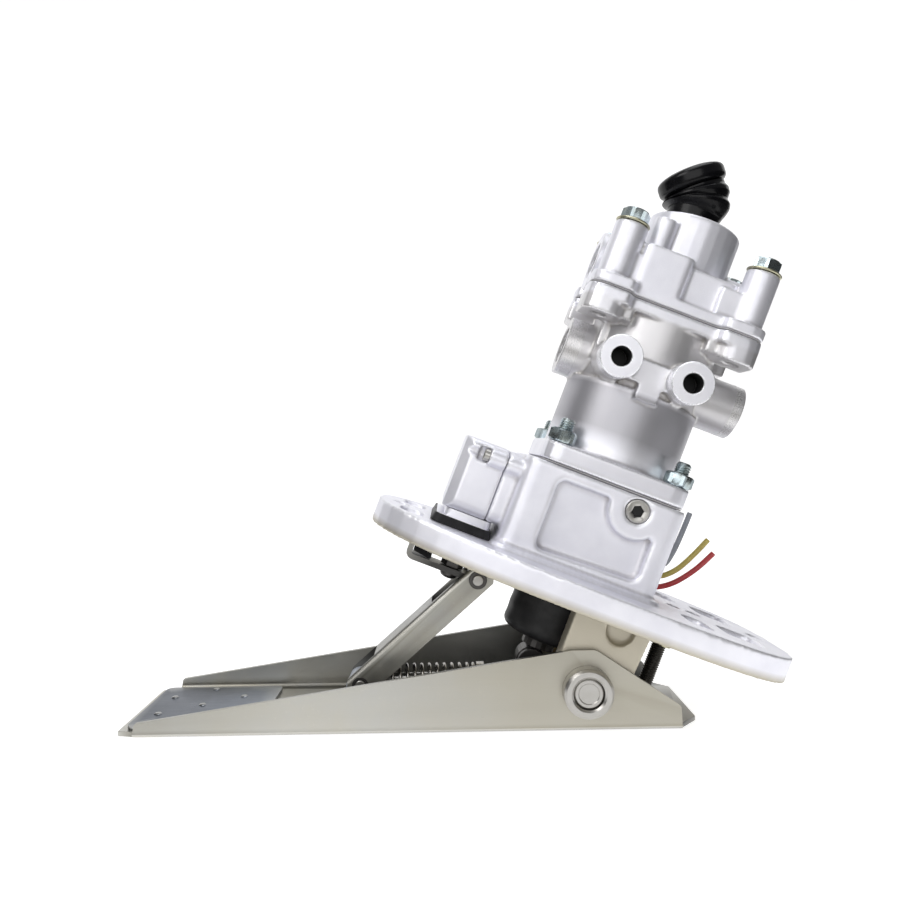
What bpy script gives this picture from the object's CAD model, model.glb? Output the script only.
import math
import bmesh
import bpy
import numpy as np
from mathutils import Matrix, Vector


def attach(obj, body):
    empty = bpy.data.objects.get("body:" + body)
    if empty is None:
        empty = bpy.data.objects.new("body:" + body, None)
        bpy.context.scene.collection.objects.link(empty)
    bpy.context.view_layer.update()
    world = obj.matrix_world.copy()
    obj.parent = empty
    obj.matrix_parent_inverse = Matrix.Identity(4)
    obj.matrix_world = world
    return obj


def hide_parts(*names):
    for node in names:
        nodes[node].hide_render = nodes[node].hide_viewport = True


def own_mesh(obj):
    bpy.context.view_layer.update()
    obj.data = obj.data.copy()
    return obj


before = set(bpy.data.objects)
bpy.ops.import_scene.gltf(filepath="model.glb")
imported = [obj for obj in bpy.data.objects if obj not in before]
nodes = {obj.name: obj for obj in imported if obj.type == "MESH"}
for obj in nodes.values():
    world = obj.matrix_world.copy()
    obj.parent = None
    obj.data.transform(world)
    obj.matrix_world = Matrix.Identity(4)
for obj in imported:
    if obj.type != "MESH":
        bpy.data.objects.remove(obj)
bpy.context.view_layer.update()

tau = 2 * math.pi
weld = 1e-6  # points nearer than this, in metres, become one

# places shared by the pieces, in metres
layout = {
    "tilt": math.radians(21.8),
    "pivot": (0.0, 0.0, 0.0210),
    "valveAxis": -0.0238,
    "armHinge": (-0.052609, 0.0, 0.072306),
    "slider": (-0.11614, 0.0, 0.0172),
}
cosTilt, sinTilt = math.cos(layout["tilt"]), math.sin(layout["tilt"])
# rows are the plate's long direction, across it, and up the valve
leaning = np.array([[cosTilt, 0, -sinTilt], [0, 1, 0], [sinTilt, 0, cosTilt]])
level = np.eye(3)


def fromValve(points):
    # a point (u, y, w) of the leaning valve becomes pivot + u*plate + y*across + w*up
    return np.asarray(layout["pivot"]) + np.asarray(points, float) @ leaning


# grids of points
def lathe(profile, steps=64, turn=0.0):
    # radius and height of each profile point swing round the z axis:
    # x = r cos(a), y = r sin(a), z = h
    r, h = np.asarray(profile, float).T
    a = turn + np.arange(steps) * tau / steps
    return np.stack([r[:, None] * np.cos(a), r[:, None] * np.sin(a),
                     np.repeat(h[:, None], steps, 1)], -1)


def hexLathe(profile, flats, steps=96, turn=0.0):
    # as lathe, but the radius stops at the hexagon: flats / 2 / cos(angle from its side's middle)
    r, h = np.asarray(profile, float).T
    a = np.arange(steps) * tau / steps
    reach = flats / 2 / np.cos(np.mod(a, tau / 6) - tau / 12)
    r = np.minimum(r[:, None], reach[None, :])
    a = a + turn
    return np.stack([r * np.cos(a), r * np.sin(a), np.repeat(h[:, None], steps, 1)], -1)


def threaded(radius, length, pitch, depth, crown=None, steps=36, perPitch=8, tip=0.0012):
    # radius less a triangle wave of (height / pitch - angle / turn) with flat crests and roots, cut
    # off by a cone at the top and, where a crown is given, by a dome at the foot
    rows = int(length / pitch * perPitch)
    h = np.linspace(0, length, rows + 1)[:, None]
    a = np.arange(steps)[None, :] * tau / steps
    wave = np.abs(np.mod(h / pitch - a / tau, 1.0) - 0.5) * 2
    r = radius - depth * np.clip(wave * 1.35 - 0.15, 0, 1)
    r = np.minimum(r, radius - tip + (length - h))
    if crown:
        low = np.clip(crown - h, 0, crown)
        r = np.minimum(r, np.sqrt(np.maximum(crown ** 2 - low ** 2, 0)) * radius / crown)
    grid = np.stack([r * np.cos(a), r * np.sin(a), h + 0 * a], -1)
    low, high = grid[:1] * [0, 0, 1], grid[-1:] * [0, 0, 1]
    return np.concatenate([low, grid, high])


def along(path, radius, steps=24, side=(0, 1, 0), turn=0.0):
    # a ring of the given radius is carried along the path, square to its tangent:
    # point + r cos(a) * side + r sin(a) * (tangent x side)
    path = np.asarray(path, float)
    tangent = np.gradient(path, axis=0)
    tangent /= np.linalg.norm(tangent, axis=1, keepdims=True)
    side = np.broadcast_to(np.asarray(side, float), path.shape)
    side = side - (side * tangent).sum(1, keepdims=True) * tangent
    side /= np.linalg.norm(side, axis=1, keepdims=True)
    other = np.cross(tangent, side)
    a = turn + np.arange(steps) * tau / steps
    radius = np.asarray(radius, float)
    radius = radius.reshape(-1, 1) if radius.ndim < 2 else radius
    radius = np.broadcast_to(radius, (len(path), steps))[..., None]
    return (path[:, None] + radius * (np.cos(a)[None, :, None] * side[:, None]
                                      + np.sin(a)[None, :, None] * other[:, None]))


def capped(grid):
    # a closing point at the middle of the first and the last ring
    return np.concatenate([np.repeat(grid[:1].mean(1, keepdims=True), grid.shape[1], 1), grid,
                           np.repeat(grid[-1:].mean(1, keepdims=True), grid.shape[1], 1)])


def helix(radius, length, turns, wire, perTurn=40, ground=0.75):
    # x = R cos(a), y = R sin(a), and the height climbs by the wire's radius over the ground part
    # of the coil at each end, and evenly between
    a = np.linspace(0, turns * tau, int(turns * perTurn) + 1)
    t = a / (turns * tau)
    lead = ground / turns
    climb = np.clip((t - lead) / (1 - 2 * lead), 0, 1)
    low = wire * np.clip(t / lead, 0, 1)
    high = wire * np.clip((t - 1 + lead) / lead, 0, 1)
    h = wire + low + high + (length - 4 * wire) * climb
    path = np.stack([radius * np.cos(a), radius * np.sin(a), h], 1)
    side = np.stack([np.cos(a), np.sin(a), 0 * a], 1)
    return path, side


def softened(corners, steps=4):
    # each corner (a, b, radius) of an open profile becomes a curve between the points where a
    # circle of that radius would touch its sides: corner + before (1 - t)^2 + after t^2
    points = []
    for i, (a, b, radius) in enumerate(corners):
        here = np.array([a, b], float)
        if radius <= 0 or i in (0, len(corners) - 1):
            points.append(here)
            continue
        before = np.array(corners[i - 1][:2], float) - here
        after = np.array(corners[i + 1][:2], float) - here
        before /= np.linalg.norm(before)
        after /= np.linalg.norm(after)
        half = math.acos(np.clip(before @ after, -1, 1)) / 2
        reach = radius / math.tan(half)
        t = np.linspace(0, 1, steps + 1)[:, None]
        arc = here + before * reach * (1 - t) ** 2 + after * reach * t ** 2
        points.extend(arc)
    return np.array(points)


def aimed(grid, origin, direction=(0, 0, 1), turned=leaning, spin=0.0):
    # the grid's z axis is laid along a direction, given in the frame whose rows are in turned
    z = np.asarray(direction, float) @ turned
    z /= np.linalg.norm(z)
    x = np.cross((0, 1, 0), z)
    if np.linalg.norm(x) < 0.1:
        x = np.cross((0, 0, 1), z)
    x /= np.linalg.norm(x)
    y = np.cross(z, x)
    c, s = math.cos(spin), math.sin(spin)
    axes = np.array([c * x + s * y, c * y - s * x, z])
    return np.asarray(origin, float) + grid @ axes


# from grids to pieces
def meshed(name, grids):
    # neighbouring points of each grid make its faces, and its last column meets its first; rings
    # that touch are merged, and all faces point outwards
    points, faces, start = [], [], 0
    for grid in grids:
        rows, columns = grid.shape[:2]
        index = start + np.arange(rows * columns).reshape(rows, columns)
        right = np.roll(index, -1, 1)
        points.append(grid.reshape(-1, 3))
        faces.append(np.stack([index[:-1], right[:-1], right[1:], index[1:]], -1).reshape(-1, 4))
        start += rows * columns
    mesh = bpy.data.meshes.new(name)
    mesh.from_pydata(np.concatenate(points), [], np.concatenate(faces).tolist())
    work = bmesh.new()
    work.from_mesh(mesh)
    bmesh.ops.remove_doubles(work, verts=work.verts, dist=weld)
    bmesh.ops.dissolve_degenerate(work, edges=work.edges, dist=weld)
    bmesh.ops.recalc_face_normals(work, faces=work.faces)
    work.to_mesh(mesh)
    work.free()
    return mesh


def placed(name, data):
    # a new object at the origin, linked to the scene
    item = bpy.data.objects.new(name, data)
    bpy.context.scene.collection.objects.link(item)
    return item


def dressed(name, mesh, material, body, replaced, sharp=30):
    # one finished piece: its material, its body and the CAD nodes it stands for
    item = placed(name, mesh)
    mesh.materials.clear()
    mesh.materials.append(material)
    mesh.shade_smooth()
    if sharp:
        mesh.set_sharp_from_angle(angle=math.radians(sharp))
    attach(item, body)
    if replaced:
        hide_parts(*replaced)
    return item


def shaped(name, grids, coat, body, replaced, sharp=30):
    # a finished piece made of grids
    return dressed(name, meshed(name, grids), coats[coat], body, replaced, sharp)


def applied(item):
    # the mesh that the modifiers make, in place of the plain one
    depsgraph = bpy.context.evaluated_depsgraph_get()
    mesh = bpy.data.meshes.new_from_object(item.evaluated_get(depsgraph))
    old = item.data
    item.modifiers.clear()
    item.data = mesh
    bpy.data.meshes.remove(old)


def mergedCopy(node, flat=None):
    # a CAD node's mesh with its loose triangles joined, and those within a flat angle made one face
    mesh = nodes[node].data.copy()
    work = bmesh.new()
    work.from_mesh(mesh)
    bmesh.ops.remove_doubles(work, verts=work.verts, dist=weld)
    if flat:
        bmesh.ops.dissolve_limit(work, angle_limit=math.radians(flat), verts=work.verts,
                                 edges=work.edges)
    work.to_mesh(mesh)
    work.free()
    return mesh


def castSkin(name, settings, grids):
    # the solid and what is added to it are wrapped in one skin, and its edges are relaxed
    node, slot = settings["node"], settings["slot"]
    mesh = mergedCopy(node)
    if grids:
        extra = meshed(name + "Extra", grids)
        work = bmesh.new()
        work.from_mesh(mesh)
        work.from_mesh(extra)
        work.to_mesh(mesh)
        work.free()
    item = placed(name, mesh)
    wrap = item.modifiers.new("wrap", "REMESH")
    wrap.mode = "VOXEL"
    wrap.voxel_size = settings["voxel"]
    ease = item.modifiers.new("ease", "SMOOTH")
    ease.factor = 0.5
    ease.iterations = settings["easing"]
    applied(item)
    item.data.materials.clear()
    item.data.materials.append(coats[settings["coat"]])
    item.data.shade_smooth()
    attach(item, "housing")
    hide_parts(node)


def crisp(name, node, material, body, width, flat=1.0, rounded=40, sharp=32):
    # a sheet or turned part whose edges above the rounded angle get a small round of this width
    item = dressed(name, mergedCopy(node, flat), material, body, (node,), sharp=None)
    edge = item.modifiers.new("edge", "BEVEL")
    edge.width = width
    edge.segments = 2
    edge.limit_method = "ANGLE"
    edge.angle_limit = math.radians(rounded)
    applied(item)
    item.data.shade_smooth()
    item.data.set_sharp_from_angle(angle=math.radians(sharp))
    even = item.modifiers.new("even", "WEIGHTED_NORMAL")
    even.keep_sharp = True
    applied(item)


# shader maths
def fill(tree, place, value):
    # a socket gets a link or a plain value
    if isinstance(value, Wire):
        tree.links.new(value.socket, place)
    else:
        place.default_value = value


class Wire:
    # a socket that can be added, multiplied and so on with other sockets and numbers
    def __init__(self, tree, socket):
        self.tree = tree
        self.socket = socket

    def maths(self, operation, first, second):
        made = self.tree.nodes.new("ShaderNodeMath")
        made.operation = operation
        fill(self.tree, made.inputs[0], first)
        fill(self.tree, made.inputs[1], second)
        return Wire(self.tree, made.outputs[0])

    def __add__(self, other):
        return self.maths("ADD", self, other)

    def __sub__(self, other):
        return self.maths("SUBTRACT", self, other)

    def __rsub__(self, other):
        return self.maths("SUBTRACT", other, self)

    def __mul__(self, other):
        return self.maths("MULTIPLY", self, other)

    __radd__ = __add__
    __rmul__ = __mul__


class Finish:
    # one material: its shader, and a maker of nodes
    def __init__(self, name, colour, roughness, metallic, **fixed):
        self.material = bpy.data.materials.new(name)
        self.material.use_nodes = True
        self.tree = self.material.node_tree
        self.shader = self.tree.nodes["Principled BSDF"]
        self.feed("Base Color", (*colour, 1.0))
        self.feed("Roughness", roughness)
        self.feed("Metallic", metallic)
        for socket, value in fixed.items():
            self.feed(socket.replace("_", " "), value)
        self.place = self.make("ShaderNodeTexCoord", {}, {}, "Object")

    def make(self, kind, settings, values, output=0):
        made = self.tree.nodes.new(kind)
        for key, value in settings.items():
            setattr(made, key, value)
        for key, value in values.items():
            fill(self.tree, made.inputs[key], value)
        return Wire(self.tree, made.outputs[output])

    def feed(self, socket, value):
        fill(self.tree, self.shader.inputs[socket], value)

    def noise(self, scale, detail, roughness=0.55, stretch=None):
        where = self.place
        if stretch:
            where = self.make("ShaderNodeMapping", {}, {"Vector": where, "Scale": stretch})
        return self.make("ShaderNodeTexNoise", {}, {"Vector": where, "Scale": scale,
                                                    "Detail": detail, "Roughness": roughness})

    def grey(self, value, low, high, outLow=0.0, outHigh=1.0):
        return self.make("ShaderNodeMapRange", {"clamp": True},
                         {"Value": value, "From Min": low, "From Max": high, "To Min": outLow,
                          "To Max": outHigh})

    def blend(self, amount, first, second):
        return self.make("ShaderNodeMix", {"data_type": "RGBA"},
                         {"Factor": amount, 6: first, 7: second}, 2)

    def tinted(self, colour, mask, name):
        # a tone from the wear list, laid over the colour where the mask is high
        tone, share = wear[name]
        return self.blend(mask * share, colour, tone)

    def zoned(self, colour, zones):
        # each zone is (ranges, tint, strength): a range runs from start to end along a direction
        for ranges, tint, strength in zones:
            amount = strength
            for direction, start, end in ranges:
                reach = self.make("ShaderNodeVectorMath", {"operation": "DOT_PRODUCT"},
                                  {0: self.place, 1: direction}, 1)
                amount = self.grey(reach, start, end) * amount
            colour = self.blend(amount, colour, (*tint, 1))
        return colour

    def bump(self, height, strength, distance):
        self.feed("Normal", self.make("ShaderNodeBump", {}, {"Height": height,
                                                             "Strength": strength,
                                                             "Distance": distance}))

    def worn(self):
        # high on ridges and low in hollows
        return self.make("ShaderNodeNewGeometry", {}, {}, "Pointiness")


# finishes: tones of worn ridges, dusty hollows and small stains, and how strongly each shows
wear = {
    "castRidge": ((0.97, 0.97, 0.99, 1), 0.55), "castDust": ((0.38, 0.35, 0.30, 1), 0.62),
    "sheetRidge": ((0.80, 0.79, 0.74, 1), 0.6), "sheetFleck": ((0.42, 0.41, 0.37, 1), 0.35),
    "steelRidge": 0.5,
}


def castFinish(name, pale, dull, roughness, grain, metallic, zones):
    # blasted aluminium: fine sand grain, cloudy patches, bright ridges and dusky hollows
    finish = Finish(name, pale, roughness, metallic)
    sand = finish.noise(grain, 5.0, 0.72)
    cloud = finish.noise(48.0, 3.0)
    broad = finish.noise(11.0, 2.0)
    ridge = finish.grey(finish.worn(), 0.505, 0.56)
    hollow = finish.grey(finish.worn(), 0.495, 0.43)
    patches = finish.grey(cloud * 0.6 + broad * 0.4, 0.36, 0.66)
    colour = finish.blend(patches, (*dull, 1), (*pale, 1))
    colour = finish.zoned(finish.tinted(colour, ridge, "castRidge"), zones)
    colour = finish.tinted(colour, hollow, "castDust")
    finish.feed("Base Color", colour)
    finish.feed("Roughness", finish.grey(sand, 0.3, 0.7, roughness - 0.05, roughness + 0.09)
                - ridge * 0.08 + hollow * 0.1)
    finish.bump(sand * 0.75 + cloud * 0.25, 0.32, 0.00035)
    return finish.material


def sheetFinish(name, cream, blue, roughness, lay=(0.06, 1.0, 1.0), zones=()):
    # zinc sheet with a cream passivation that turns blue-grey in patches, and rolling lines
    finish = Finish(name, cream, roughness, 0.92)
    patch = finish.noise(26.0, 4.0, 0.6)
    broad = finish.noise(9.0, 2.0)
    lines = finish.noise(900.0, 3.0, 0.6, lay)
    fleck = finish.noise(420.0, 4.0, 0.7)
    ridge = finish.grey(finish.worn(), 0.51, 0.58)
    patches = finish.grey(patch * 0.55 + broad * 0.45, 0.40, 0.62)
    colour = finish.blend(patches, (*blue, 1), (*cream, 1))
    colour = finish.tinted(colour, finish.grey(fleck, 0.60, 0.78), "sheetFleck")
    colour = finish.tinted(finish.zoned(colour, zones), ridge, "sheetRidge")
    finish.feed("Base Color", colour)
    finish.feed("Roughness", finish.grey(patch + lines * 0.5, 0.5, 1.0, roughness - 0.07,
                                         roughness + 0.12))
    finish.bump(lines * 0.7 + fleck * 0.3, 0.10, 0.0002)
    return finish.material


def steelFinish(name, pale, dull, roughness, metallic=1.0, stain=0.3):
    # turned or plated steel: a fine grain, faint stains, bright edges
    finish = Finish(name, pale, roughness, metallic)
    stains = finish.noise(160.0, 4.0, 0.65)
    grain = finish.noise(2200.0, 2.0, 0.6)
    ridge = finish.grey(finish.worn(), 0.51, 0.60)
    colour = finish.blend(finish.grey(stains, 0.40, 0.68) * stain, (*pale, 1), (*dull, 1))
    edge = tuple(min(0.95, 1.6 * c) for c in pale)
    colour = finish.blend(ridge * wear["steelRidge"], colour, (*edge, 1))
    finish.feed("Base Color", colour)
    finish.feed("Roughness", finish.grey(grain, 0.3, 0.7, roughness - 0.05, roughness + 0.08))
    finish.bump(grain, 0.08, 0.0001)
    return finish.material


def rubberFinish(name, tone, roughness, dust):
    # moulded rubber: faint bloom in patches, small moulding grain, a thin shine over it
    finish = Finish(name, tone, roughness, 0.0, Coat_Weight=0.06, Coat_Roughness=0.12,
                    Specular_IOR_Level=0.18)
    bloom = finish.noise(90.0, 4.0, 0.6)
    grain = finish.noise(1500.0, 3.0, 0.6)
    pale = tuple(c + 0.05 for c in tone)
    finish.feed("Base Color", finish.blend(finish.grey(bloom, 0.45, 0.75) * dust, (*tone, 1),
                                           (*pale, 1)))
    finish.feed("Roughness", finish.grey(bloom + grain * 0.3, 0.45, 0.9, roughness - 0.06,
                                         roughness + 0.14))
    finish.bump(grain, 0.08, 0.0002)
    return finish.material


def matteFinish(name, tone, roughness, grainScale=700.0, spread=0.12, depth=0.15):
    # paper, nylon and wire covering: uneven tone with a fine grain
    finish = Finish(name, tone, roughness, 0.0)
    cloud = finish.noise(120.0, 3.0, 0.6)
    grain = finish.noise(grainScale, 4.0, 0.7)
    dark = tuple(c * (1 - spread) for c in tone)
    pale = tuple(min(1.0, c * (1 + spread)) for c in tone)
    finish.feed("Base Color", finish.blend(finish.grey(cloud * 0.6 + grain * 0.4, 0.38, 0.64),
                                           (*dark, 1), (*pale, 1)))
    finish.feed("Roughness", finish.grey(grain, 0.3, 0.7, roughness - 0.06, roughness + 0.06))
    finish.bump(grain, depth, 0.0002)
    return finish.material


# tints by place, in metres: the cream underside of the plate, the duller barrel, the dark inside
# of the pedal, the worn front of its tread and the dark web of the link arm
up, across, lengthwise = (sinTilt, 0.0, cosTilt), (0.0, 1.0, 0.0), (1.0, 0.0, 0.0)
# a point at height w of the leaning valve reads foot + w along the direction called up
foot = layout["pivot"][2] * cosTilt
zonesOf = {
    "plateUnderside": [([(up, foot + 0.0425, foot + 0.0385)], (0.43, 0.39, 0.29), 0.88)],
    "barrel": [([(up, foot + 0.1160, foot + 0.1260), (up, foot + 0.1490, foot + 0.1465)],
                (0.36, 0.355, 0.38), 0.85),
               ([(up, foot + 0.1465, foot + 0.1500), (up, foot + 0.1890, foot + 0.1870),
                 (across, -0.0385, -0.0360)], (0.52, 0.505, 0.49), 0.6)],
    "pedal": [([(across, -0.0394, -0.0386), (across, 0.0394, 0.0386), (lengthwise, -0.215, -0.060)],
               (0.060, 0.062, 0.066), 0.95)]
             + [([(across, -0.0386, -0.0394), (lengthwise, start, end)], tint, strength)
                for start, end, tint, strength in (
                    (-0.150, -0.215, (0.090, 0.084, 0.064), 0.85),
                    (0.035, 0.085, (0.46, 0.45, 0.40), 0.8),
                    (-0.110, -0.030, (0.215, 0.192, 0.135), 0.8))],
    "treadFront": [([(lengthwise, -0.150, -0.205)], (0.055, 0.064, 0.082), 0.88)],
    "armWeb": [([(across, -0.0122, -0.0108), (across, 0.0122, 0.0108)], (0.050, 0.050, 0.052),
                0.85)],
}
coats = {
    "rough": castFinish("roughCasting", (0.92, 0.92, 0.98), (0.80, 0.80, 0.87), 0.40, 1500.0,
                        metallic=0.58, zones=zonesOf["plateUnderside"]),
    "smooth": castFinish("smoothCasting", (0.88, 0.88, 0.93), (0.76, 0.76, 0.82), 0.33, 2400.0,
                         metallic=0.68, zones=zonesOf["barrel"]),
    "sheet": sheetFinish("passivatedSheet", (0.30, 0.278, 0.215), (0.25, 0.25, 0.24), 0.34,
                         zones=zonesOf["pedal"]),
    "tread": sheetFinish("passivatedTread", (0.34, 0.36, 0.39), (0.26, 0.31, 0.40), 0.32,
                         zones=zonesOf["treadFront"]),
    "slide": sheetFinish("passivatedSlide", (0.30, 0.32, 0.37), (0.23, 0.28, 0.38), 0.28),
    "arm": sheetFinish("passivatedArm", (0.225, 0.205, 0.150), (0.18, 0.182, 0.175), 0.34,
                       (0.3, 1.0, 0.3), zonesOf["armWeb"]),
    "blueZinc": steelFinish("blueZinc", (0.40, 0.47, 0.50), (0.47, 0.46, 0.36), 0.27, stain=0.6),
    "yellowZinc": steelFinish("yellowZinc", (0.50, 0.48, 0.34), (0.42, 0.44, 0.42), 0.28),
    "bright": steelFinish("brightSteel", (0.44, 0.43, 0.41), (0.34, 0.33, 0.30), 0.33),
    "dark": steelFinish("oiledSteel", (0.075, 0.072, 0.070), (0.045, 0.043, 0.040), 0.38,
                        metallic=0.9),
    "spring": steelFinish("springSteel", (0.38, 0.37, 0.35), (0.24, 0.23, 0.21), 0.27),
    "bronze": steelFinish("bushBronze", (0.62, 0.46, 0.25), (0.42, 0.30, 0.17), 0.34),
    "rubber": rubberFinish("mouldedRubber", (0.004, 0.004, 0.005), 0.22, 0.08),
    "boot": rubberFinish("bootRubber", (0.016, 0.016, 0.017), 0.45, 0.3),
    "bore": steelFinish("boreShade", (0.006, 0.006, 0.006), (0.004, 0.004, 0.004), 0.6,
                        metallic=0.2, stain=0.5),
    "paper": matteFinish("gasketPaper", (0.48, 0.47, 0.48), 0.8),
    "nylon": matteFinish("sliderNylon", (0.30, 0.33, 0.38), 0.45, 400.0),
}
for name, tone in (("red", (0.50, 0.045, 0.05)), ("yellow", (0.58, 0.47, 0.12)),
                   ("grey", (0.34, 0.36, 0.40))):
    coats[name] = matteFinish(name + "Covering", tone, 0.38, 900.0, 0.1, 0.05)
print("finishes made:", len(coats))

# camera
view = {"place": (-0.0680, -0.450, 0.1478), "lens": 32.88, "roll": math.radians(-0.96),
        "aside": 0.0038, "lift": -0.0127}
camera = placed("camera", bpy.data.cameras.new("camera"))
camera.data.lens = view["lens"]
camera.data.sensor_width = 36
camera.data.shift_x = view["aside"]
camera.data.shift_y = view["lift"]
camera.data.clip_start = 0.01
camera.matrix_world = (Matrix.Translation(view["place"]) @ Matrix.Rotation(math.pi / 2, 4, "X")
                       @ Matrix.Rotation(view["roll"], 4, "Z"))
bpy.context.scene.camera = camera

# wires: where they leave the housing (u, y), then for each its height there, its coat and its
# course from there as (u, y, w)
wire = {
    "start": (0.0226, 0.008), "radius": 0.0015, "endRadius": 0.93 * 0.0015, "spacing": 0.0012,
    "wireRed": (0.0569, "red", [(0.0, 0.0, 0.0), (0.006, 0.0, 0.0), (0.0148, 0.001, 0.006),
                                (0.0228, 0.0, 0.017), (0.0285, -0.001, 0.0288)]),
    "wireYellow": (0.0635, "yellow", [(0.0, 0.0, 0.0), (0.006, 0.0, 0.0), (0.0133, 0.001, 0.0065),
                                      (0.0193, 0.002, 0.017), (0.024, 0.002, 0.0281)]),
    "wireGrey": (0.0701, "grey", [(0.0, 0.0, 0.0), (0.0052, 0.0, 0.0), (0.0078, 0.001, 0.008),
                                  (0.0090, 0.002, 0.020), (0.0096, 0.003, 0.0319)]),
}


def smoothRoute(points, spacing):
    # a Catmull-Rom curve through the points, read again at an even spacing
    p = np.asarray(points, float)
    ends = np.concatenate([p[:1], p, p[-1:]])
    t = np.linspace(0, 1, 20, endpoint=False)[:, None]
    parts = [0.5 * (2 * b + (c - a) * t + (2 * a - 5 * b + 4 * c - d) * t ** 2
                    + (3 * b - a - 3 * c + d) * t ** 3)
             for a, b, c, d in zip(ends, ends[1:], ends[2:], ends[3:])]
    dense = np.concatenate(parts + [p[-1:]])
    walked = np.concatenate([[0], np.cumsum(np.linalg.norm(np.diff(dense, axis=0), axis=1))])
    even = np.linspace(0, walked[-1], max(2, round(walked[-1] / spacing)) + 1)
    return np.stack([np.interp(even, walked, dense[:, k]) for k in range(3)], 1), walked[-1]


def buildWires():
    u, y = wire["start"]
    for name in ("wireRed", "wireYellow", "wireGrey"):
        height, coat, offsets = wire[name]
        route, length = smoothRoute([(u + a, y + b, height + c) for a, b, c in offsets],
                                    wire["spacing"])
        path = fromValve(route)
        r = np.full(len(path), wire["radius"])
        r[0] = r[-1] = wire["endRadius"]
        item = shaped(name, [capped(along(path, r, 20))], coat, "housing", ("wire_" + coat,))
    print("wires made")


buildWires()

# castings: size of the skin's cells and passes of easing, then the round forms added to each: a
# point (u, y, w) on the axis, direction, start and end along it, radius and the bore's radius
castings = {
    "housingCasting": {
        "node": "base_casting", "voxel": 0.00115, "easing": 2, "coat": "rough",
        "slot": "cast_aluminium", "rounds": []},
    "valveCasting": {
        "node": "valve_body", "voxel": 0.00085, "easing": 2, "coat": "smooth",
        "slot": "machined_aluminium",
        "rounds": [((-0.0238, 0, 0), (0, 0, 1), 0.1120, 0.1496, 0.0360, 0.0165),
                   ((-0.0238, 0, 0), (0, 0, 1), 0.1480, 0.1900, 0.0331, 0.0165),
                   ((0, 0, 0.163), (-1, 0, 0), 0.045, 0.0693, 0.01575, 0.0103),
                   ((0, 0, 0.161), (1, 0, 0), 0.004, 0.0313, 0.0145, 0.0103),
                   *[((u, 0, 0.1607), (0, -1, 0), 0.026, 0.0478, 0.0105, 0.0058)
                     for u in (-0.0445, -0.0069)]]},
    "capCasting": {
        "node": "exhaust_cap", "voxel": 0.00082, "easing": 2, "coat": "rough",
        "slot": "cast_aluminium",
        "rounds": [((-0.0238, 0, 0), (0, 0, 1), 0.1995, 0.2470, 0.0247, 0.0143),
                   ((0, 0, 0.212), (-1, 0, 0), 0.050, 0.0698, 0.0162, 0.0103),
                   ((0, 0, 0.212), (1, 0, 0), 0.002, 0.0178, 0.0162, 0.0103),
                   *[((-0.0238 + side * 0.0361, end * 0.027, 0), (0, 0, 1), 0.1990, 0.2290,
                      0.0087, 0.0043) for side in (-1, 1) for end in (-1, 1)]]},
    "sensorCover": {
        "node": "sensor_cover", "voxel": 0.00065, "easing": 3, "coat": "rough",
        "slot": "cast_aluminium", "rounds": []},
}


def collarGrid(spot, direction, start, end, radius, bore, outer=0.0004, inner=0.0003, hold=0.0008):
    # a turned ring with a small chamfer outside and in, its axis laid through a point of the valve;
    # a row of points close behind each chamfer keeps the flat faces evenly shaded
    ring = [(bore, start), (radius, start), (radius, end - 0.0001 - hold - outer),
            (radius, end - outer), (radius - outer, end), (radius - outer - hold, end),
            (bore + inner + hold, end), (bore + inner, end), (bore, end - inner), (bore, start)]
    return aimed(lathe(ring, 96), fromValve(spot), direction)


def buildCastings():
    for name, s in castings.items():
        castSkin(name, s, [collarGrid(*row) for row in s["rounds"]])
        print("casting made:", name)


buildCastings()

# ports: a point on the axis, direction, start and end of the turned face, its radius, hole and
# coat, then its bore: how far behind the face it begins, its radius and its depth
mainBore, testBore = (0.0015, 0.0100, 0.0140), (0.0004, 0.0053, 0.0120)
ports = {
    "leftBody": ((0, 0, 0.163), (-1, 0, 0), 0.0610, 0.0694, 0.01582, 0.0102, "smooth", mainBore),
    "rightBody": ((0, 0, 0.161), (1, 0, 0), 0.0260, 0.0314, 0.01458, 0.0102, "smooth", mainBore),
    "leftCap": ((0, 0, 0.212), (-1, 0, 0), 0.0620, 0.0699, 0.01628, 0.0102, "rough", mainBore),
    "rightCap": ((0, 0, 0.212), (1, 0, 0), 0.0120, 0.0179, 0.01628, 0.0102, "rough", mainBore),
}
for name, u in (("leftTest", -0.0445), ("rightTest", -0.0069)):
    ports[name] = ((u, 0, 0.1607), (0, -1, 0), 0.0400, 0.0482, 0.01075, 0.0051, "smooth", testBore)
boreThread = {"pitch": 0.0015, "swing": 0.0009, "inset": 0.0006, "perPitch": 6, "skin": 0.0004}


def buildPorts():
    for name, (*ring, coat, _) in ports.items():
        shaped(name + "Face", [collarGrid(*ring)], coat, "housing", ())
    # each bore is a cup whose wall swings in and out by a triangle wave of its depth and reads
    # as a thread: r = radius - inset + swing |height / pitch mod 1 - 1/2|
    s = boreThread
    for name, (spot, direction, _, end, _, _, _, (behind, radius, depth)) in ports.items():
        h = np.arange(-depth, 0, s["pitch"] / s["perPitch"])
        wave = np.abs(np.mod(h / s["pitch"], 1.0) - 0.5) * s["swing"]
        wall = list(zip(radius - s["inset"] + wave, h))
        cup = [(0, -depth - s["skin"]), (radius, -depth - s["skin"]), (radius, 0)]
        cup += [(radius - s["skin"], 0)] + wall[::-1] + [(0, -depth)]
        mouth = np.add(spot, np.multiply(direction, end - behind))
        shaped(name + "Bore", [aimed(lathe(cup, 48), fromValve(mouth), direction)], "bore",
               "housing", ())
    print("ports made")


buildPorts()

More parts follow.
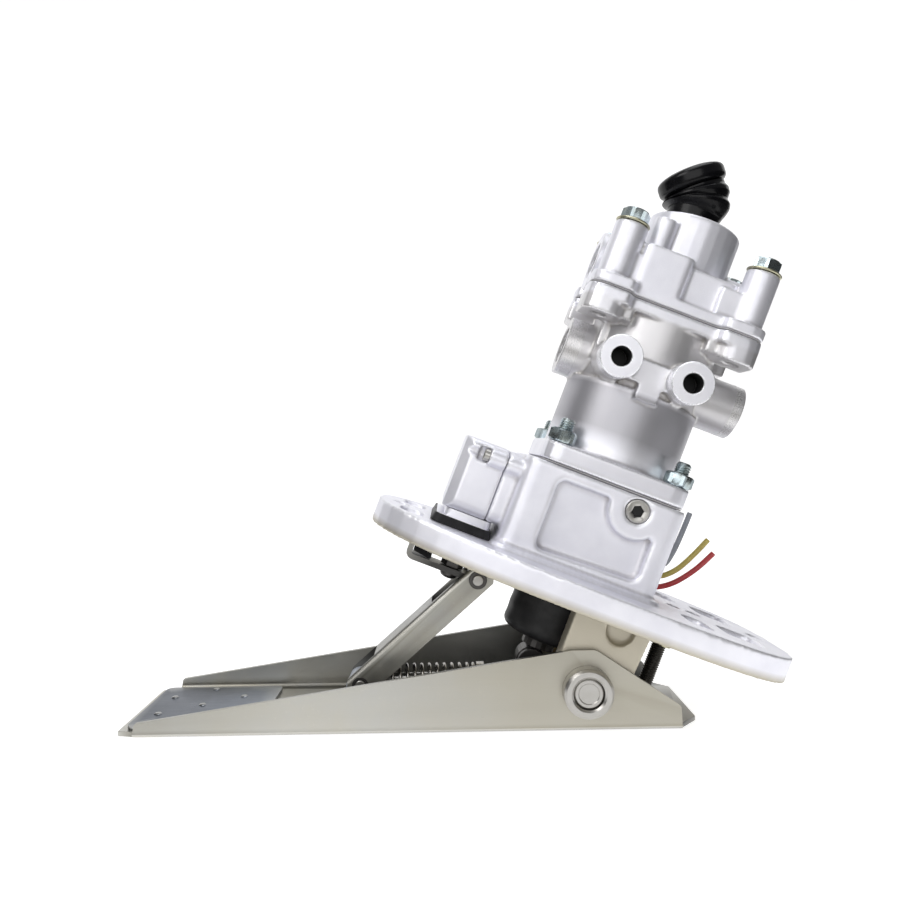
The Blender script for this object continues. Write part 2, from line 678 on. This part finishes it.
# bolts, nuts and studs; a flange's profile is radius, height and rounding of each corner, and
# each bolt or nut is turned on from the last by so many degrees
capBolt = {"seat": 0.2295, "offsetU": 0.0361, "offsetY": 0.027, "flats": 0.013, "head": 0.0072,
           "shank": 0.004, "point": 0.0006, "reach": 0.043, "turnEach": 17,
           "flange": [(0, -0.0001, 0), (0.0088, -0.0001, 0.0002), (0.0092, 0.0005, 0.0004),
                      (0.0088, 0.0010, 0.0003), (0.0067, 0.0020, 0.0003), (0, 0.0020, 0)]}
flangeNut = {"offset": 0.0315, "seat": 0.1114, "flats": 0.013, "height": 0.0065, "play": 0.0002,
             "stud": 0.0040, "studLow": 0.0883, "studTop": 0.1239, "pitch": 0.00125,
             "thread": 0.0005, "turnFirst": 11, "turnEach": 23}


def hexHead(flats, height, chamfer=0.00081, dish=0.0003):
    # a hexagon with a turned chamfer at the top and a shallow dish, at shares of half its flats
    corner, half = flats / math.sqrt(3), flats / 2
    return hexLathe([(0, 0), (corner, 0), (corner, height - chamfer), (half * 0.96, height),
                     (half * 0.80, height), (half * 0.72, height - dish), (0, height - dish)],
                    flats)


def nutGrid(flats, height, hole, chamfer=0.0008, sink=0.0006):
    # a hexagon, chamfered at both ends, round a hole that is countersunk at both ends
    corner, half = flats / math.sqrt(3), flats / 2
    ring = [(hole, 0.0005), (hole + sink, 0), (half * 0.96, 0), (corner, chamfer),
            (corner, height - chamfer), (half * 0.96, height), (hole + 0.0007, height),
            (hole, height - sink), (hole, 0.0005)]
    return hexLathe(ring, flats)


def buildBolts():
    s = capBolt
    names = ("near_left", "near_right", "far_left", "far_right")
    places = [(side, end) for end in (-1, 1) for side in (-1, 1)]
    for index, (name, (side, end)) in enumerate(zip(names, places)):
        spot = fromValve((layout["valveAxis"] + side * s["offsetU"], end * s["offsetY"], s["seat"]))
        flange = lathe(softened(s["flange"]), 72)
        head = hexHead(s["flats"], s["head"])
        shank = lathe([(0, -s["reach"]), (s["shank"] - s["point"], -s["reach"]),
                       (s["shank"], s["point"] - s["reach"]), (s["shank"], 0), (0, 0)], 32)
        turn = math.radians(s["turnEach"] * index)
        shaped("capBolt_" + name, [aimed(head, spot, spin=turn), aimed(shank, spot)], "blueZinc",
               "housing", ("cap_bolt_" + name,))
        shaped("capBoltFlange_" + name, [aimed(flange, spot)], "yellowZinc", "housing", ())
    s = flangeNut
    for index, (name, (side, end)) in enumerate(zip(names, places)):
        u, y = layout["valveAxis"] + side * s["offset"], end * s["offset"]
        nut = aimed(nutGrid(s["flats"], s["height"], s["stud"] + s["play"]),
                    fromValve((u, y, s["seat"])),
                    spin=math.radians(s["turnFirst"] + s["turnEach"] * index))
        shaped("flangeNut_" + name, [nut], "blueZinc", "housing", ("flange_nut_" + name,))
        stud = threaded(s["stud"], s["studTop"] - s["studLow"], s["pitch"], s["thread"])
        shaped("flangeStud_" + name, [aimed(stud, fromValve((u, y, s["studLow"])))], "blueZinc",
               "housing", ("flange_stud_" + name,), sharp=45)
    print("bolts and nuts made")


buildBolts()

stopBolt = {"u": 0.0385, "tip": -0.003895, "top": 0.050, "radius": 0.004, "pitch": 0.00125,
            "thread": 0.0005, "nutLow": 0.0289, "nutHeight": 0.005, "flats": 0.013,
            "play": 0.0002, "nutTurn": 0.2}


def buildStop():
    s = stopBolt
    bolt = threaded(s["radius"], s["top"] - s["tip"], s["pitch"], s["thread"], s["radius"])
    shaped("stopBolt", [aimed(bolt, fromValve((s["u"], 0, s["tip"])))], "dark", "housing",
           ("stop_bolt",), sharp=45)
    nut = nutGrid(s["flats"], s["nutHeight"], s["radius"] + s["play"])
    shaped("stopNut", [aimed(nut, fromValve((s["u"], 0, s["nutLow"])), spin=s["nutTurn"])],
           "yellowZinc", "housing", ("stop_lock_nut",))
    print("stop bolt made")


buildStop()

# pivot pin and its collars, which begin at start
pivot = {"height": 0.0210, "pin": 0.0075, "reach": 0.0463, "chamfer": 0.0008, "rim": 0.0022,
         "dish": 0.0004, "collar": 0.0124, "start": 0.0403, "thick": 0.0075, "bore": 0.0078,
         "collarChamfer": 0.0014}


def buildPivot():
    # the pin is chamfered and dished at its ends, and each collar is chamfered outside and in
    s = pivot
    r, end, chamfer, dish = s["pin"], s["reach"], s["chamfer"], s["dish"]
    outline = softened([(0, 0, 0), (r, 0, 0), (r, end - chamfer, 0.0003),
                        (r - chamfer, end, 0.0004), (r - s["rim"], end, 0.0002),
                        (r - s["rim"] - dish, end - dish, 0.0002), (0, end - dish, 0)])
    grid = np.concatenate([lathe(outline * [1, -1], 72)[::-1], lathe(outline, 72)])
    shaped("pivotPin", [aimed(grid, (0, 0, s["height"]), (0, 1, 0), level)], "bright", "pedal",
           ("pivot_pin",))
    for name, side in (("near", -1), ("far", 1)):
        bore, r, thick, chamfer = s["bore"], s["collar"], s["thick"], s["collarChamfer"]
        ring = softened([(bore, 0, 0), (r, 0, 0), (r, thick - chamfer, 0.0005),
                         (r - chamfer, thick, 0.0006), (bore + 0.0010, thick, 0.0004),
                         (bore, thick - 0.0009, 0)])
        ring = np.concatenate([ring, ring[:1]])
        grid = aimed(lathe(ring, 72), (0, side * s["start"], s["height"]), (0, side, 0), level)
        shaped("pivotCollar_" + name, [grid], "bright", "pedal", ("pivot_collar_" + name,))
    print("pivot made")


buildPivot()

# bite is how far a washer reaches into its pin
linkPin = {"radius": 0.0032, "half": 0.0129, "washer": 0.0048, "thick": 0.0015, "peen": 0.0012,
           "bite": 0.0003}
slidePin = {"radius": 0.0030, "half": 0.0132, "chamfer": (0.0007, 0.0006), "washer": 0.0044,
            "low": 0.0122, "high": 0.0131, "bite": 0.0002}


def buildPins():
    # turned pins, each between two washers; the near end of the upper one is peened over
    s = linkPin
    r, end = s["radius"], s["half"] + s["thick"]
    body = softened([(0, -end - s["peen"], 0), (r - 0.0004, -end - s["peen"], 0.0006),
                     (r - 0.0002, -s["half"], 0), (r, end, 0), (0, end, 0)])
    shaped("hingePin", [aimed(lathe(body, 48), layout["armHinge"], (0, 1, 0), level)], "bright",
           "housing", ("link_hinge_pin",))
    washers = []
    hole = r - s["bite"]
    for low in (-end, s["half"]):
        ring = softened([(hole, low, 0), (s["washer"], low, 0.0003),
                         (s["washer"], low + s["thick"], 0.0003), (hole, low + s["thick"], 0),
                         (hole, low, 0)])
        washers.append(aimed(lathe(ring, 48), layout["armHinge"], (0, 1, 0), level))
    shaped("hingeWashers", washers, "dark", "housing", ())
    s = slidePin
    r, end, (inward, back) = s["radius"], s["half"], s["chamfer"]
    body = softened([(0, -end, 0), (r - inward, -end, 0.0004), (r, back - end, 0.0003),
                     (r, end - back, 0.0003), (r - inward, end, 0.0004), (0, end, 0)])
    shaped("sliderPin", [aimed(lathe(body, 40), layout["slider"], (0, 1, 0), level)], "bright",
           "slider", ("link_slider_pin",))
    rings = []
    hole = r - s["bite"]
    for side in (-1, 1):
        low, high = side * s["low"], side * s["high"]
        ring = [(hole, low), (s["washer"], low), (s["washer"], high), (hole, high), (hole, low)]
        rings.append(aimed(lathe(ring, 40), layout["slider"], (0, 1, 0), level))
    shaped("sliderWashers", rings, "dark", "slider", ())
    print("pins made")


buildPins()

# springs: radii of coil and wire; keep is the share of its length that the pull spring has left
# at the end of the pedal's travel, and the inner one gives up its stroke
pullSpring = {"start": -0.10484, "height": 0.0172, "radius": 0.0071, "wire": 0.0009,
              "length": 0.0507, "turns": 13, "keep": 0.495}
innerSpring = {"radius": 0.0120, "wire": 0.0016, "turns": 5, "stroke": 0.0082}


def buildSprings():
    s = pullSpring
    path, side = helix(s["radius"], s["length"], s["turns"], s["wire"])
    grid = aimed(capped(along(path, s["wire"], 12, side)), (s["start"], 0, s["height"]),
                 (1, 0, 0), level)
    item = shaped("pullSpring", [grid], "spring", "pedal", ("return_spring",))
    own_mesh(item)
    s = innerSpring
    mesh = nodes["graduating_spring"].data
    height = (np.array([v.co for v in mesh.vertices]) - layout["pivot"]) @ leaning[2]
    low, length = height.min(), np.ptp(height)
    path, side = helix(s["radius"], length, s["turns"], s["wire"])
    grid = aimed(capped(along(path, s["wire"], 12, side)), fromValve((layout["valveAxis"], 0, low)))
    item = shaped("graduatingSpring", [grid], "spring", "housing", ("graduating_spring",))
    tuple(fromValve((layout["valveAxis"], 0, low + length)))
    1 - s["stroke"] / length
    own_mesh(item)
    print("springs made")


buildSprings()

# rubber elbow: radii of the neck from its foot to the bend, then of the ribs at shares of the
# bend; the band at the mouth rounds off by edge, and the mouth is narrower than its rim by lip
elbow = {"capTop": 0.2475, "rise": 0.0074, "low": 0.2362, "bore": 0.0105, "lean": math.radians(38),
         "bend": 0.0200, "inset": 0.0036, "rim": 0.0182, "band": 0.0106, "edge": 0.0044,
         "lip": 0.0056, "neck": [0.0134, 0.0134, 0.0144],
         "ribsAt": [0, 0.10, 0.20, 0.32, 0.42, 0.50, 0.55, 0.60, 0.70, 0.82, 0.92, 1.0],
         "ribs": [0.0146, 0.0154, 0.0166, 0.0178, 0.0180, 0.0170, 0.0162, 0.0168, 0.0178, 0.0176,
                  0.0162, 0.0162]}


def buildElbow():
    # the centre line goes up, round an arc and straight on; the ring carried along it has the
    # radius of neck and ribs, then rim - edge |2 t - 1|^4 over the band
    s = elbow
    u0 = layout["valveAxis"] - s["inset"]
    top = s["capTop"] + s["rise"]
    straight = np.linspace(s["low"], top, 24)
    lean = np.linspace(0, s["lean"], 60)[1:]
    ahead = np.linspace(0, s["band"], 30)[1:]
    endU = u0 - s["bend"] * (1 - math.cos(s["lean"]))
    endW = top + s["bend"] * math.sin(s["lean"])
    u = np.concatenate([0 * straight + u0, u0 - s["bend"] * (1 - np.cos(lean)),
                        endU - ahead * math.sin(s["lean"])])
    w = np.concatenate([straight, top + s["bend"] * np.sin(lean),
                        endW + ahead * math.cos(s["lean"])])
    path = np.stack([u, 0 * u, w], 1)
    neck = np.interp(straight, [s["low"], s["capTop"], top], s["neck"])
    ribs = np.interp(lean / s["lean"], s["ribsAt"], s["ribs"])
    band = s["rim"] - s["edge"] * np.abs(2 * ahead / s["band"] - 1.0) ** 4
    outer = along(path, np.concatenate([neck, ribs, band]), 80)
    inner = along(path, np.full(len(path), s["bore"]), 80)
    inner[-1] = along(path, np.full(len(path), s["rim"] - s["lip"]), 80)[-1]
    shell = np.concatenate([outer, inner[::-1], outer[:1]])
    shaped("exhaustElbow", [fromValve(shell)], "rubber", "housing", ("exhaust_elbow",),
           sharp=50)
    print("elbow made")


buildElbow()

# rubber boot: its skirt waves a little, wall and floor are its thickness, and keep is the share of
# its height left when the plunger is pressed in
boot = {"low": 0.01014, "top": 0.0344, "neck": 0.0058, "radius": 0.0226, "corner": 0.0042,
        "wave": 0.0001, "wavePitch": 0.0082, "wall": 0.0021, "floor": 0.0018, "heel": 0.0055,
        "keep": 0.67}


def buildBoot():
    # a turned skirt that rounds in under the plunger's head by a quarter circle; above that its
    # radius is full - wave + wave cos(2 pi height / pitch), and its lip is rounded by two chamfers
    s = boot
    full, corner, wave, neck = s["radius"], s["corner"], s["wave"], s["neck"]
    low, top, ledge = s["low"], s["top"], s["low"] + s["floor"]
    a = np.linspace(0, math.pi / 2, 9)
    heel = list(zip(full - corner + corner * np.sin(a), low + corner * (1 - np.cos(a))))
    h = np.linspace(low + corner, top - 0.0012, 60)[1:]
    skirt = full - wave + wave * np.cos((h - low - corner) / s["wavePitch"] * tau)
    outer = [(neck, low)] + heel + list(zip(skirt, h))
    outer += [(full - 0.0004, top - 0.0003), (full - 0.0009, top)]
    inner = [(full - s["wall"], top), (full - s["wall"] - 0.0004, ledge + corner),
             (full - s["heel"], ledge), (neck, ledge), (neck, low)]
    grid = fromValve(lathe(outer + inner, 80) + [layout["valveAxis"], 0, 0])
    item = shaped("plungerBoot", [grid], "boot", "housing", ("plunger_boot",),
                  sharp=50)
    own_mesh(item)
    print("boot made")


buildBoot()

# sheet parts and small solids kept from the solid model, their edges rounded: name, coat, body,
# slot and width of the rounding
edged = {
    "pedal_channel": ("pedalSheet", "sheet", "pedal", "zinc_sheet", 0.0005),
    "tread_plate": ("treadPlate", "tread", "pedal", "zinc_sheet", 0.0002),
    "slide_plate": ("slidePlate", "slide", "pedal", "bright_steel", 0.0003),
    "spring_abutment": ("springAngle", "sheet", "pedal", "zinc_sheet", 0.0004),
    "roller_bracket": ("rollerCheeks", "dark", "pedal", "zinc_sheet", 0.0004),
    "link_arm": ("linkArm", "arm", "link_arm_body", "zinc_sheet", 0.0004),
    "link_bracket": ("linkStrap", "arm", "housing", "zinc_sheet", 0.0004),
    "slider_block": ("sliderBlock", "nylon", "slider", "slider_nylon", 0.0004),
    "bracket_bumper": ("strapBumper", "rubber", "housing", "black_rubber", 0.0005),
    "bracket_spacer": ("strapSpacer", "dark", "housing", "dark_steel", 0.0004),
    "wire_grommet": ("wireGrommet", "boot", "housing", "black_rubber", 0.0004),
    "cover_screw_near": ("coverScrewNear", "bright", "housing", "bright_steel", 0.0002),
    "cover_screw_far": ("coverScrewFar", "bright", "housing", "bright_steel", 0.0002),
    "bracket_screw": ("strapScrew", "dark", "housing", "dark_steel", 0.0002),
}
# solids shown as they are, and their coats
plain = {
    "body_gasket": "paper", "cap_gasket": "paper",
    "piston_return_spring": "spring", "plunger": "dark", "plunger_guide": "bronze",
    "reaction_piston": "smooth", "pivot_bush_near": "bronze", "pivot_bush_far": "bronze",
    "push_roller": "dark", "roller_pin": "dark", "slider_rod": "bright", "rod_nut": "bright",
}

# the plug's socket is sunk twice this deep and its dark floor fills the lower half; the cover's
# seal is split at a height, and each half is drawn in to a share of its width
plug = {"place": (-0.0077, -0.0387, 0.0924), "radius": 0.0060, "deep": 0.0060, "flats": 0.0056,
        "socket": 0.0012, "chamfer": 0.0006, "mouth": 0.0037, "lip": 0.0004}
seal = {"split": 0.0556, "flare": 0.94, "neck": 0.885}


def buildPlug():
    # a turned plug with a hexagon sunk in its face, and the dark floor of that socket
    s = plug
    r, chamfer = s["radius"], s["chamfer"]
    body = lathe([(0, -s["deep"]), (r, -s["deep"]), (r, -chamfer), (r - chamfer, 0),
                  (s["mouth"], 0)], 96)
    sunk = hexLathe([(r, -s["lip"]), (r, -s["socket"] * 2)], s["flats"])
    grid = np.concatenate([body, sunk, sunk[-1:] * [0, 0, 1]])
    spot = fromValve(s["place"])
    shaped("sidePlug", [aimed(grid, spot, (0, -1, 0))], "bright", "housing", ("side_plug",))
    shade = hexLathe([(0, -s["socket"] * 2), (r, -s["socket"] * 2), (r, -s["socket"]),
                      (0, -s["socket"])], s["flats"])
    shaped("plugSocket", [aimed(shade, spot, (0, -1, 0))], "bore", "housing", ())
    print("plug made")


def sliced(node, height, keepLow, scaled):
    # the part of a solid below or above a height of the valve: the upper part is drawn in about
    # its middle, and of the lower part only the cut edge, so that its walls lean out to its foot
    mesh = mergedCopy(node, 1.0)
    work = bmesh.new()
    work.from_mesh(mesh)
    bmesh.ops.bisect_plane(work, geom=work.verts[:] + work.edges[:] + work.faces[:],
                           plane_co=fromValve((0, 0, height)), plane_no=leaning[2],
                           clear_outer=keepLow, clear_inner=not keepLow)
    bmesh.ops.holes_fill(work, edges=[edge for edge in work.edges if edge.is_boundary], sides=0)
    bmesh.ops.recalc_face_normals(work, faces=work.faces)
    points = (np.array([v.co for v in work.verts]) - layout["pivot"]) @ leaning.T
    middle = (points.max(0) + points.min(0)) / 2
    for vertex, point in zip(work.verts, points):
        atCut = abs(point[2] - height) < 1e-5
        if atCut or not keepLow:
            point[:2] = middle[:2] + (point[:2] - middle[:2]) * scaled
        vertex.co = fromValve(point)
    work.to_mesh(mesh)
    work.free()
    return mesh


def buildSeal():
    # a thin black foot that flares out at the plate, and the cover's own wall above it
    s = seal
    dressed("coverSeal", sliced("cover_seal", s["split"], True, s["flare"]), coats["boot"],
            "housing", ("cover_seal",))
    dressed("coverFoot", sliced("cover_seal", s["split"], False, s["neck"]), coats["rough"],
            "housing", ())
    print("cover seal made")


def finishSolids():
    for node, (name, coat, body, slot, width) in edged.items():
        crisp(name, node, coats[coat], body, width)
    for node, coat in plain.items():
        nodes[node].data.materials.clear()
        nodes[node].data.materials.append(coats[coat])
    print("solids dressed")


finishSolids()
buildPlug()
buildSeal()

# floor and light; each lamp has a name, place, target, width, height, power and colour, and each
# card a name and its place in x
studio = {
    "wide": 4.0, "front": -3.0, "back": 1.2, "bend": 0.8, "high": 3.0, "drop": 0.0004,
    "world": 0.19, "paper": (0.62, 0.62, 0.62), "paperFront": (0.20, 0.19, 0.16), "glow": 0.78,
    "glowFront": 0.02, "fade": (-0.40, -0.20),
    "lamps": [
        ("key", (-0.60, -0.55, 0.75), (0.02, 0.0, 0.13), 0.50, 0.50, 3.2, (1.0, 0.99, 0.98)),
        ("front", (-0.20, -1.15, 0.45), (0.0, 0.0, 0.15), 1.30, 0.80, 5.4, (1.0, 1.0, 1.0)),
        ("top", (0.05, -0.05, 1.00), (0.0, 0.0, 0.12), 0.80, 0.50, 3.0, (0.97, 0.98, 1.0)),
    ],
    "cards": [("rightCard", 0.42), ("leftCard", -0.56)], "cardSpan": (-0.52, 0.28),
    "cardFoot": 0.001, "cardTop": 0.42,
}


def buildStudio():
    # the paper runs level and then up behind: y = back + bend sin(a), z = bend (1 - cos(a))
    s = studio
    a = np.linspace(0, math.pi / 2, 24)
    y = np.concatenate([[s["front"]], s["back"] + s["bend"] * np.sin(a), [s["back"] + s["bend"]]])
    z = np.concatenate([[0.0], s["bend"] * (1 - np.cos(a)), [s["high"]]]) - s["drop"]
    points = [(x, b, c) for b, c in zip(y, z) for x in (-s["wide"], s["wide"])]
    faces = [(2 * i, 2 * i + 1, 2 * i + 3, 2 * i + 2) for i in range(len(y) - 1)]
    mesh = bpy.data.meshes.new("floor")
    mesh.from_pydata(points, [], faces)
    mesh.shade_smooth()
    floor = placed("floor", mesh)
    # the paper is white behind and under the part and falls off to a dusky cream before it
    paint = Finish("floorPaper", s["paper"], 0.8, 0.0, Emission_Strength=1.0)
    depth = paint.make("ShaderNodeSeparateXYZ", {}, {"Vector": paint.place}, 1)
    behind = paint.grey(depth, *s["fade"])
    paint.feed("Base Color", paint.blend(behind, (*s["paperFront"], 1), (*s["paper"], 1)))
    low, high = s["glowFront"], s["glow"]
    paint.feed("Emission Color", paint.blend(behind, (low, low, low, 1), (high, high, high, 1)))
    mesh.materials.append(paint.material)
    # black cards beside the part, out of the picture, give the bright castings their dark sides
    card = Finish("blackCard", (0.02, 0.02, 0.02), 0.9, 0.0)
    (near, far), foot, top = s["cardSpan"], s["cardFoot"], s["cardTop"]
    for name, x in s["cards"]:
        sheet = bpy.data.meshes.new(name)
        sheet.from_pydata([(x, near, foot), (x, far, foot), (x, far, top), (x, near, top)], [],
                          [(0, 1, 2, 3)])
        sheet.materials.append(card.material)
        item = placed(name, sheet)
        item.visible_camera = False
    for name, place, target, width, height, power, colour in s["lamps"]:
        lamp = bpy.data.lights.new(name, "AREA")
        lamp.shape = "RECTANGLE"
        lamp.size = width
        lamp.size_y = height
        lamp.energy = power
        lamp.color = colour
        item = placed(name, lamp)
        item.location = place
        item.rotation_euler = (Vector(target) - Vector(place)).to_track_quat("-Z", "Y").to_euler()
    world = bpy.data.worlds.new("studio")
    bpy.context.scene.world = world
    world.use_nodes = True
    sky = world.node_tree.nodes["Background"]
    sky.inputs["Color"].default_value = (1, 1, 1, 1)
    sky.inputs["Strength"].default_value = s["world"]
    bpy.context.scene.view_settings.view_transform = "Standard"
    print("studio made")


buildStudio()
